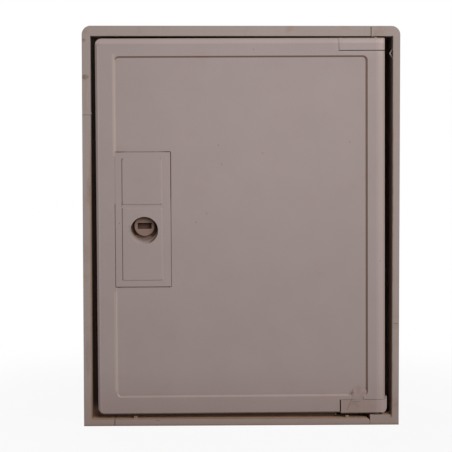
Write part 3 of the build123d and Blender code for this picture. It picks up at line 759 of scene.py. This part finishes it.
def rim_edges(surface, tone, look):
    """Brown dirt and painted shade along the rim's inner edge on the hinge side, and thin grime on the lock
    side, both with an uneven border.
    """
    depth = surface.y - RIM_FRONT
    along_door = surface.z.fade(*DOOR_FOOT) * surface.z.fade(*DOOR_HEAD)
    uneven = surface.clouds(*EDGE_CLOUDS) * EDGE_WANDER
    border = (surface.x - (uneven + HINGE_BORDER)).fade(*HINGE_BORDER_FADE)
    hinge_side = border * surface.x.fade(*HINGE_WALL) * along_door
    edge_tone = toned(look.stain_and_shade_colour, HINGE_EDGE_TONE)
    wall_tone = toned(look.stain_and_shade_colour, HINGE_WALL_TONE)
    brown = depth.fade(*HINGE_WALL_DEPTH).mix(edge_tone, wall_tone)
    strength = HINGE_SHADE_AND_DIRT - surface.z.fade(*HINGE_SHADE_AND_DIRT_TOP) * HINGE_SHADE_AND_DIRT_EASE
    # brown dirt and painted shade on the hinge side's inner edge and wall
    tone = (hinge_side * strength).mix(tone, brown)
    border = (surface.x + uneven).fade(*LOCK_BORDER)
    lock_side = border * surface.x.fade(*LOCK_WALL) * depth.fade(*LOCK_WALL_DEPTH)
    return (lock_side * surface.z.fade(*LOCK_WALL_TOP) * along_door).tint(tone, look.grime_and_shade_tint)


def casing_marks(surface, tone, height, look):
    """Dirt and painted shade round the door, painted light on the ledge, stains and fine lines on the rim,
    and dirt, grime and painted shade along its inner edges.
    """
    tone = gap_dirt_and_shade(surface, tone, look)
    tone, height = rim_marks(surface, tone, height, look)
    return rim_edges(surface, tone, look), height


def bevel_highlights(surface, tone):
    """Painted highlights on the bevels round the door, which lean as the door does."""
    along = surface.z - surface.x * DOOR_LEAN
    across = surface.x + surface.z * DOOR_LEAN
    for way, (start, end, lift) in ((along, TOP_BEVEL_HIGHLIGHT), (across, RIGHT_BEVEL_HIGHLIGHT), (across, LEFT_BEVEL_HIGHLIGHT)):
        tone = way.fade(start, end).tint(tone, even(lift))
    return tone


def field_shade_and_grime(surface, tone, look):
    """Painted shade, with some grime, on the field's edges that face down or left, on the smear and in the
    key well, and a painted highlight on the sill.
    """
    behind = surface.y - DOOR_FRONT
    facing_x = surface.facing("X")
    facing_z = surface.facing("Z")
    in_field = surface.x.fade(*FIELD_LEFT) * surface.z.fade(*FIELD_FOOT) * surface.z.fade(*FIELD_HEAD)
    on_field = in_field * behind.fade(*DOOR_SKIN)
    # painted highlight on the field's lower slopes that face up
    on_sill = facing_z.fade(*FIELD_SLOPE) * surface.z.fade(*SILL_HEIGHT) * surface.x.fade(*SILL_END)
    tone = (on_sill * on_field).tint(tone, even(SILL_HIGHLIGHT))
    # painted shade on the smear's slopes that face up
    on_smear = surface.spot(*SMEAR_SHADE) * facing_z.fade(*SMEAR_TILT)
    tone = on_smear.tint(tone, look.low_darkening_and_shade_tint)
    # painted shade, with some grime, on edges that face down or to the left, away from the light
    downward = (0 - facing_z) * surface.z.fade(*UPPER_EDGE)
    turned_away = (0 - facing_x).larger(downward).fade(*FIELD_SLOPE)
    tone = (turned_away * on_field).tint(tone, look.lee_shade_and_grime_tint)
    # painted shade in the key well
    in_well = surface.spot(*KEY_WELL) * behind.fade(*KEY_WELL_DEPTH)
    return in_well.tint(tone, look.lee_shade_and_grime_tint)


def front_marks(surface, tone, height, look, on_front):
    """Painted highlight along the field's left edge, and specks, smudges and scuffs on the door's front."""
    # painted highlight along the field's left edge
    for *run, strength in RECESS_HIGHLIGHTS:
        tone = (surface.stroke(*run) * on_front * strength).mix(tone, look.recess_highlight_colour)
    for place in DOOR_SPECKS:
        speck = surface.spot(*place, SPECK_RADIUS, SPECK_RADIUS) * on_front
        tone = (speck * SPECK_STRENGTH).mix(tone, look.stain_and_shade_colour)
    ragged = surface.clouds(*SMUDGE_CLOUDS).fade(*SMUDGE_RANGE)
    for *oval, strength in DOOR_SMUDGES:
        smudge = surface.spot(*oval) * ragged * on_front
        tone = (smudge * strength).mix(tone, look.stain_and_shade_colour)
    for *run, strength in HINGE_SCUFFS:
        line = surface.stroke(*run) * on_front
        tone = (line * strength).mix(tone, look.stain_and_shade_colour)
        height = height - line * SCUFF_DEPTH
    return tone, height


def block_tones(surface, tone, look, on_front):
    """Painted shade on the lower hinge block and along the hinge side, and a painted highlight on the upper
    block.
    """
    low_block = surface.spot(*LOW_BLOCK) * on_front
    # painted shade on the lower block
    tone = (low_block * LOW_BLOCK_SHADE).tint(tone, look.grime_and_shade_tint)
    high_block = surface.spot(*HIGH_BLOCK) * on_front
    # painted highlight on the upper block
    tone = high_block.tint(tone, even(HIGH_BLOCK_HIGHLIGHT))
    across = surface.x + surface.z * DOOR_LEAN
    hinge_edge = across.fade(*HINGE_BEVEL) * surface.z.fade(*FIELD_FOOT)
    # painted shade on the door's hinge-side edge
    return (hinge_edge * HINGE_BEVEL_SHADE).tint(tone, look.grime_and_shade_tint)


def door_marks(surface, tone, height, look):
    """Painted highlights, painted shade and some grime on the door, and the marks on its front."""
    on_front = (surface.y - DOOR_FRONT).fade(*DOOR_SKIN)
    # painted highlights on the door's top, right and left bevels
    tone = bevel_highlights(surface, tone)
    # painted shade and highlight on the sunk field, with some grime
    tone = field_shade_and_grime(surface, tone, look)
    tone, height = front_marks(surface, tone, height, look, on_front)
    return block_tones(surface, tone, look, on_front), height


def plated(name, colour):
    """Zinc plating with a faint spangle and streaks along the sheet."""
    surface = Surface(name)
    spangle = surface.clouds(*SPANGLE).fade(*SPANGLE_RANGE)
    streaks = surface.clouds(*STREAKS, stretch=STREAK_STRETCH)
    return surface.finish({
        "Base Color": spangle.mix(toned(colour, SPANGLE_DEEP), toned(colour, SPANGLE_PALE)),
        "Metallic": 1.0,
        "Roughness": spangle * PLATE_SPREAD + streaks * PLATE_SPREAD + PLATE_ROUGHNESS,
        "Normal": surface.relief(streaks, FINE_RELIEF),
    })


def nylon(name, colour):
    """Plain nylon, a little cloudy."""
    surface = Surface(name)
    clouds = surface.clouds(*NYLON_CLOUDS).fade(*NYLON_RANGE)
    return surface.finish({
        "Base Color": clouds.mix(toned(colour, NYLON_DEEP), colour),
        "Roughness": clouds * NYLON_SPREAD + NYLON_ROUGHNESS,
        "Normal": surface.relief(surface.clouds(*NYLON_GRAIN), FINE_RELIEF),
    })


def piece_from(work, name):
    """New object from a mesh under construction."""
    mesh = bpy.data.meshes.new(name)
    work.to_mesh(mesh)
    work.free()
    piece = bpy.data.objects.new(name, mesh)
    bpy.context.scene.collection.objects.link(piece)
    return piece


def joined_points(left):
    """Takes one point out of a set, with all that edges join to it."""
    group = [left.pop()]
    for vertex in group:
        for edge in vertex.link_edges:
            other = edge.other_vert(vertex)
            if other in left:
                left.remove(other)
                group.append(other)
    return group


def islands(node):
    """Lowest and highest corners of each separate solid in a node."""
    work = bmesh.new()
    work.from_mesh(node.data)
    bmesh.ops.remove_doubles(work, verts=work.verts, dist=WELD_REACH)
    left = set(work.verts)
    found = []
    while left:
        group = joined_points(left)
        low = Vector([min(vertex.co[axis] for vertex in group) for axis in AXES])
        high = Vector([max(vertex.co[axis] for vertex in group) for axis in AXES])
        found.append((low, high))
    work.free()
    return sorted(found, key=lambda box: tuple(box[0]))


def ring(work, radii, height):
    """Ring of points at one height, with one radius or one for each point."""
    points = []
    for side in range(SCREW_SIDES):
        angle = math.tau * side / SCREW_SIDES
        radius = radii[side] if isinstance(radii, list) else radii
        points.append(work.verts.new((radius * math.cos(angle), radius * math.sin(angle), height)))
    return points


def skin(work, first, second):
    """Band of faces between two rings."""
    count = len(first)
    for side in range(count):
        ahead = (side + 1) % count
        work.faces.new((first[side], first[ahead], second[ahead], second[side]))


def cross_points(work, radius, height):
    """Outline of a cross recess."""
    reach = RECESS_REACH * radius
    width = RECESS_WIDTH * radius
    points = []
    for arm in range(RECESS_ARMS):
        turn = Matrix.Rotation(math.tau * arm / RECESS_ARMS, MATRIX_SIZE, "Z")
        for corner in ((width, -width), (reach, -width), (reach, width)):
            points.append(work.verts.new(turn @ Vector((*corner, height))))
    return points


def loop_edges(work, points):
    """Edges round a ring of points."""
    count = len(points)
    edges = []
    for side in range(count):
        pair = (points[side], points[(side + 1) % count])
        edges.append(work.edges.get(pair) or work.edges.new(pair))
    return edges


def thread_radii(height, crest, steel):
    """Radius of each point of one ring of the thread."""
    radii = []
    for side in range(SCREW_SIDES):
        phase = (height / steel.thread_pitch - side / SCREW_SIDES) % 1.0
        radii.append(crest - steel.thread_depth * (1 - abs(2 * phase - 1)))
    return radii


def screw_head(work, radius, height, sunk):
    """Head with a cross recess. Gives back its lower rim."""
    profile = SUNK_PROFILE if sunk else PAN_PROFILE
    rings = [ring(work, radius * across, height * up) for across, up in profile]
    for first, second in zip(rings, rings[1:]):
        skin(work, first, second)
    top = rings[-1]
    top_height = top[0].co.z
    mouth = cross_points(work, radius, top_height)
    floor = cross_points(work, radius * RECESS_TAPER, top_height - height * RECESS_DEPTH)
    skin(work, mouth, floor)
    work.faces.new(floor)
    border = loop_edges(work, top) + loop_edges(work, mouth)
    bmesh.ops.triangle_fill(work, edges=border, use_beauty=True)
    return rings[0]


def screw_shank(work, neck, neck_height, radius, run, steel):
    """Threaded shank that hangs from the neck's ring and narrows to its tip."""
    rows = max(LEAST_ROWS, round(run / steel.thread_pitch * ROWS_PER_TURN))
    tip_run = run * TIP_SHARE
    last = neck
    for row in range(1, rows + 1):
        depth = run * row / rows
        narrowing = max(0.0, (depth - run + tip_run) / tip_run)
        crest = radius * (1 - TIP_NARROWING * narrowing)
        current = ring(work, thread_radii(depth, crest, steel), neck_height - depth)
        skin(work, current, last)
        last = current
    work.faces.new(last)


def turned_screw(head_radius, head_height, shank_radius, length, sunk, steel):
    """Screw with a cross recess and a thread, its head above the origin or sunk below it."""
    work = bmesh.new()
    head_rim = screw_head(work, head_radius, head_height, sunk)
    neck_height = -head_height if sunk else 0.0
    neck = ring(work, shank_radius, neck_height)
    skin(work, neck, head_rim)
    screw_shank(work, neck, neck_height, shank_radius, length + neck_height, steel)
    bmesh.ops.recalc_face_normals(work, faces=work.faces)
    mesh = bpy.data.meshes.new("turned_screw")
    work.to_mesh(mesh)
    work.free()
    return mesh


def hinge_heading(height, middle_height):
    """Way that the heads of a hinge block's screws face: along the hinge line, to the door's middle."""
    axis = Vector(next(joint["axis"] for joint in frame["joints"] if joint["name"] == "door_hinge"))
    return axis if height < middle_height else -axis


def placed_screw(low, high, heading, sizes, steel):
    """Turned screw in the box of a plain one."""
    shank_radius, head_height, sunk = sizes
    size = high - low
    along = max(AXES, key=lambda axis: abs(heading[axis]))
    across = (along + 1) % len(AXES)
    head_end = (low + high) / 2 + heading * (size[along] / 2)
    origin = head_end if sunk else head_end - heading * head_height
    length = size[along] if sunk else size[along] - head_height
    mesh = turned_screw(size[across] / 2, head_height, shank_radius, length, sunk, steel)
    turn = UPWARD.rotation_difference(heading).to_matrix().to_4x4()
    mesh.transform(Matrix.Translation(origin) @ turn)
    return mesh


def screw_group(node_name, steel):
    """Turned screws in the places of a node's plain ones."""
    body, facing, *sizes = SCREW_GROUPS[node_name]
    boxes = islands(frame["nodes"][node_name])
    middle_height = sum(low.z for low, high in boxes) / len(boxes)
    work = bmesh.new()
    for low, high in boxes:
        heading = facing
        if heading is None:
            heading = hinge_heading((low.z + high.z) / 2, middle_height)
        mesh = placed_screw(low, high, heading, sizes, steel)
        work.from_mesh(mesh)
        bpy.data.meshes.remove(mesh)
    piece = piece_from(work, node_name + "_turned")
    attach(piece, body)
    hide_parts(node_name)
    return piece


def eased(value, start, end):
    """0 before start and 1 after end, with a soft change between them."""
    share = min(1.0, max(0.0, (value - start) / (end - start)))
    return share * share * (3 - 2 * share)


def smear_depth(x, z):
    """Depth of the smear's surface, or nothing outside its ragged outline."""
    middle_x, middle_z = SMEAR_MIDDLE
    half_x, half_z = SMEAR_HALF
    across = (x - middle_x) / half_x
    along = (z - middle_z) / half_z
    ragged = SMEAR_RAGGED * noise.noise(Vector((x, 0, z)) / SMEAR_RAGGED_SIZE)
    spread = across ** 2 + along ** 2 + ragged
    if spread > SMEAR_EDGE:
        return None
    slope = eased(z, SMEAR_FOOT, SMEAR_FOOT + SMEAR_SLOPE)
    filled = DOOR_FRONT - SMEAR_PROUD + (FIELD_DEPTH + SMEAR_PROUD) * slope
    sunk = SMEAR_SINK * eased(spread, SMEAR_SINK_START, SMEAR_EDGE)
    lumps = SMEAR_LUMPS * noise.noise(Vector((x, 1, z)) / SMEAR_LUMP_SIZE)
    from_blister = math.dist((x, z), BLISTER) / BLISTER_RADIUS
    return filled + sunk + lumps - BLISTER_HEIGHT * math.exp(-from_blister * from_blister)


def smear_points(work, columns, rows):
    """Points of the smear by column and row."""
    middle_x, middle_z = SMEAR_MIDDLE
    points = {}
    for column in range(columns + 1):
        for row in range(rows + 1):
            x = middle_x + (column - columns / 2) * SMEAR_CELL
            z = middle_z + (row - rows / 2) * SMEAR_CELL
            y = smear_depth(x, z)
            if y is not None:
                points[column, row] = work.verts.new((x, y, z))
    return points


def corner_smear():
    """Sheet of smeared plastic over the door's lower hinge corner."""
    work = bmesh.new()
    columns, rows = [math.ceil(2 * half / SMEAR_CELL) + SMEAR_MARGIN for half in SMEAR_HALF]
    points = smear_points(work, columns, rows)
    for column in range(columns):
        for row in range(rows):
            corners = ((column, row), (column + 1, row), (column + 1, row + 1), (column, row + 1))
            if all(corner in points for corner in corners):
                face = work.faces.new([points[corner] for corner in corners])
                face.smooth = True
    return piece_from(work, "corner_smear")


def seam_flash():
    """Small lump of flash that hangs from the top rim at its seam."""
    work = bmesh.new()
    bmesh.ops.create_icosphere(work, subdivisions=FLASH_ROUNDS, radius=1.0)
    for vertex in work.verts:
        swell = 1 + FLASH_SWELL * noise.noise(vertex.co * FLASH_LUMPS)
        scaled = [size * part * swell for size, part in zip(FLASH_SIZE, vertex.co)]
        vertex.co = Vector(FLASH_PLACE) + Vector(scaled)
    for face in work.faces:
        face.smooth = True
    return piece_from(work, "seam_flash")


def studio_camera(studio):
    """Camera before the box's front."""
    camera = bpy.data.cameras.new("studio_camera")
    camera.sensor_width = SENSOR_WIDTH
    camera.lens = studio.camera_lens
    stand = bpy.data.objects.new("studio_camera", camera)
    turn = Matrix.Rotation(-studio.camera_yaw, MATRIX_SIZE, "Z")
    tilt = Matrix.Rotation(math.pi / 2 + studio.camera_pitch, MATRIX_SIZE, "X")
    roll = Matrix.Rotation(studio.camera_roll, MATRIX_SIZE, "Z")
    stand.matrix_world = Matrix.Translation(studio.camera_place) @ turn @ tilt @ roll
    bpy.context.scene.collection.objects.link(stand)
    bpy.context.scene.camera = stand


def aimed(place, target):
    """Placing that looks from one point to another."""
    heading = (Vector(target) - Vector(place)).to_track_quat("-Z", "Y")
    return Matrix.Translation(place) @ heading.to_matrix().to_4x4()


def soft_lamp(name, place, target, power, width):
    """Square lamp aimed at a point."""
    lamp = bpy.data.lights.new(name, "AREA")
    lamp.shape = "SQUARE"
    lamp.size = width
    lamp.energy = power
    stand = bpy.data.objects.new(name, lamp)
    stand.matrix_world = aimed(place, target)
    stand.visible_camera = False
    bpy.context.scene.collection.objects.link(stand)


def studio_lamps(studio):
    """Main lamp, weak lamp before the door and lamp behind the box."""
    low, high = cad_box
    middle = (low + high) / 2
    ahead = Vector(studio.front_place)
    ahead.y = middle.y
    soft_lamp("key_lamp", studio.key_place, middle, studio.key_power, studio.key_size)
    soft_lamp("front_lamp", studio.front_place, ahead, studio.front_power, studio.front_size)
    soft_lamp("back_lamp", studio.back_place, middle, studio.back_power, studio.back_size)


def seen_share(start):
    """1 where a place is seen directly, in a gloss or through glass, and 0 where it only sheds light."""
    light_path = "ShaderNodeLightPath"
    seen = start.node(light_path, output="Is Camera Ray")
    glossy = start.node(light_path, output="Is Glossy Ray")
    through = start.node(light_path, output="Is Transmission Ray")
    return seen.larger(glossy).larger(through)


def end_with(tree, kind, share, first, second):
    """Ends a tree of nodes in a shader that goes from the first to the second with the share."""
    mixed = share.node("ShaderNodeMixShader", None, {0: share, 1: first, 2: second})
    end = tree.nodes.new(kind)
    tree.links.new(mixed.socket, end.inputs["Surface"])


def lit_world(ambient, colour):
    """Even light from all round that shows as a plain background."""
    world = bpy.data.worlds.new("studio")
    world.use_nodes = True
    tree = world.node_tree
    tree.nodes.clear()
    start = Shade(tree)
    dim = start.node("ShaderNodeBackground", None, {"Color": paint(colour), "Strength": ambient})
    plain = start.node("ShaderNodeBackground", None, {"Color": paint(colour), "Strength": 1.0})
    end_with(tree, "ShaderNodeOutputWorld", seen_share(start), dim, plain)
    bpy.context.scene.world = world


def pale_floor(studio):
    """Floor finish that shows as the background does, with the box's shadow on it."""
    material = bpy.data.materials.new("studio_floor_pale")
    material.use_nodes = True
    tree = material.node_tree
    tree.nodes.clear()
    start = Shade(tree)
    matt = start.node("ShaderNodeBsdfDiffuse", None, {"Color": paint(toned(studio.floor_colour, FLOOR_TONE))})
    plain = start.node("ShaderNodeEmission", None, {"Color": paint(studio.floor_colour), "Strength": 1.0})
    point = start.node("ShaderNodeTexCoord", output="Object")
    away = start.node("ShaderNodeVectorMath", {"operation": "LENGTH"}, {0: point}, output="Value")
    share = seen_share(start) * (1 - away.fade(SHADOW_REACH, SHADOW_CORE) * studio.floor_shadow)
    end_with(tree, "ShaderNodeOutputMaterial", share, matt, plain)
    return material


def studio_floor(studio):
    """Pale floor under the box."""
    work = bmesh.new()
    bmesh.ops.create_grid(work, x_segments=FLOOR_CELLS, y_segments=FLOOR_CELLS, size=FLOOR_REACH)
    floor = piece_from(work, "studio_floor")
    floor.data.materials.append(pale_floor(studio))


class METERBOX_OT_casing(bpy.types.Operator):
    """Grained plastic with stains and soft edges on the casing's panels"""

    bl_idname = "meterbox.casing"
    bl_label = "Casing panels"

    def execute(self, context):
        look = context.scene.moulded_plastic
        material = moulded(
            "casing_plastic_grained", look.casing_colour, look, SEAM_REACH, CASING_STAINS,
            marks=casing_marks, clean=CLEAN_LEDGE,
        )
        dress(CASING_NODES, material)
        soften(CASING_NODES, look.edge_width, look.edge_steps)
        return {"FINISHED"}


class METERBOX_OT_door(bpy.types.Operator):
    """Grained plastic with specks and scuffs on the door, lock plate and hinge blocks"""

    bl_idname = "meterbox.door"
    bl_label = "Door"

    def execute(self, context):
        look = context.scene.moulded_plastic
        material = moulded(
            "door_plastic_grained", look.door_colour, look, SEAM_REACH, DOOR_STAINS,
            marks=door_marks, clean=CLEAN_SEAMS,
        )
        dress(DOOR_NODES, material)
        soften(DOOR_NODES, look.edge_width, look.edge_steps)
        return {"FINISHED"}


class METERBOX_OT_lock(bpy.types.Operator):
    """Darker plastic on the lock's housing and core"""

    bl_idname = "meterbox.lock"
    bl_label = "Lock"

    def execute(self, context):
        look = context.scene.moulded_plastic
        material = moulded(
            "lock_plastic_grained", look.lock_colour, look, WELL_REACH, LOCK_STAINS, clean=CLEAN_RING,
        )
        dress(LOCK_NODES, material)
        soften(LOCK_NODES, look.edge_width * FINE_EDGE, look.edge_steps)
        return {"FINISHED"}


class METERBOX_OT_metal(bpy.types.Operator):
    """Plated steel on the bracket, tongue and pins, and nylon on the hinge washer"""

    bl_idname = "meterbox.metal"
    bl_label = "Metal parts"

    def execute(self, context):
        look = context.scene.moulded_plastic
        steel = context.scene.plated_steel
        dress(PLATED_NODES, plated("zinc_plate", steel.zinc_colour))
        dress(PIN_NODES, plated("drawn_steel", steel.pin_colour))
        dress(WASHER_NODES, nylon("washer_nylon_plain", steel.nylon_colour))
        soften(PLATED_NODES + PIN_NODES + WASHER_NODES, look.edge_width * FINE_EDGE, look.edge_steps)
        return {"FINISHED"}


class METERBOX_OT_screws(bpy.types.Operator):
    """Turned screws with cross recesses and threads in place of the plain ones"""

    bl_idname = "meterbox.screws"
    bl_label = "Screws"

    def execute(self, context):
        steel = context.scene.plated_steel
        material = plated("zinc_screw_plate", steel.zinc_colour)
        for node_name in SCREW_GROUPS:
            piece = screw_group(node_name, steel)
            piece.data.materials.append(material)
            for face in piece.data.polygons:
                face.use_smooth = True
            edges = piece.modifiers.new("edges", "EDGE_SPLIT")
            edges.split_angle = SPLIT_ANGLE
        return {"FINISHED"}


class METERBOX_OT_smear_and_flash(bpy.types.Operator):
    """Smeared plastic by the lower hinge and a lump of flash at the top seam"""

    bl_idname = "meterbox.smear_and_flash"
    bl_label = "Smear and flash"

    def execute(self, context):
        smear = corner_smear()
        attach(smear, "door")
        smear.data.materials.append(bpy.data.materials["door_plastic_grained"])
        flash = seam_flash()
        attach(flash, "casing")
        flash.data.materials.append(bpy.data.materials["casing_plastic_grained"])
        return {"FINISHED"}


class METERBOX_OT_stage(bpy.types.Operator):
    """Camera, lamps, background and floor"""

    bl_idname = "meterbox.stage"
    bl_label = "Studio"

    def execute(self, context):
        studio = context.scene.studio
        studio_camera(studio)
        studio_lamps(studio)
        lit_world(studio.ambient, studio.floor_colour)
        studio_floor(studio)
        context.scene.view_settings.view_transform = "Standard"
        return {"FINISHED"}


class METERBOX_PT_finishes(bpy.types.Panel):
    """Finishes of the meter box and their settings"""

    bl_idname = "METERBOX_PT_finishes"
    bl_label = "Meter box"
    bl_space_type = "VIEW_3D"
    bl_region_type = "UI"
    bl_category = "Meter box"

    def draw(self, context):
        for operator in OPERATORS:
            self.layout.operator(operator.bl_idname)
        for group_name in SETTINGS:
            group = getattr(context.scene, group_name)
            box = self.layout.box()
            for setting in group.bl_rna.properties:
                if not setting.is_readonly and setting.identifier != "name":
                    box.prop(group, setting.identifier)


SETTINGS = {"moulded_plastic": MouldedPlastic, "plated_steel": PlatedSteel, "studio": Studio}
OPERATORS = (
    METERBOX_OT_casing, METERBOX_OT_door, METERBOX_OT_lock, METERBOX_OT_metal, METERBOX_OT_screws,
    METERBOX_OT_smear_and_flash, METERBOX_OT_stage,
)


def register():
    for group in SETTINGS.values():
        bpy.utils.register_class(group)
    for name, group in SETTINGS.items():
        setattr(bpy.types.Scene, name, PointerProperty(type=group))
    for operator in OPERATORS:
        bpy.utils.register_class(operator)
    bpy.utils.register_class(METERBOX_PT_finishes)


def unregister():
    bpy.utils.unregister_class(METERBOX_PT_finishes)
    for operator in reversed(OPERATORS):
        bpy.utils.unregister_class(operator)
    for name, group in SETTINGS.items():
        delattr(bpy.types.Scene, name)
        bpy.utils.unregister_class(group)


def main():
    register()
    bpy.ops.meterbox.casing()
    bpy.ops.meterbox.door()
    bpy.ops.meterbox.lock()
    bpy.ops.meterbox.metal()
    bpy.ops.meterbox.screws()
    bpy.ops.meterbox.smear_and_flash()
    bpy.ops.meterbox.stage()


if __name__ == "__main__":
    main()
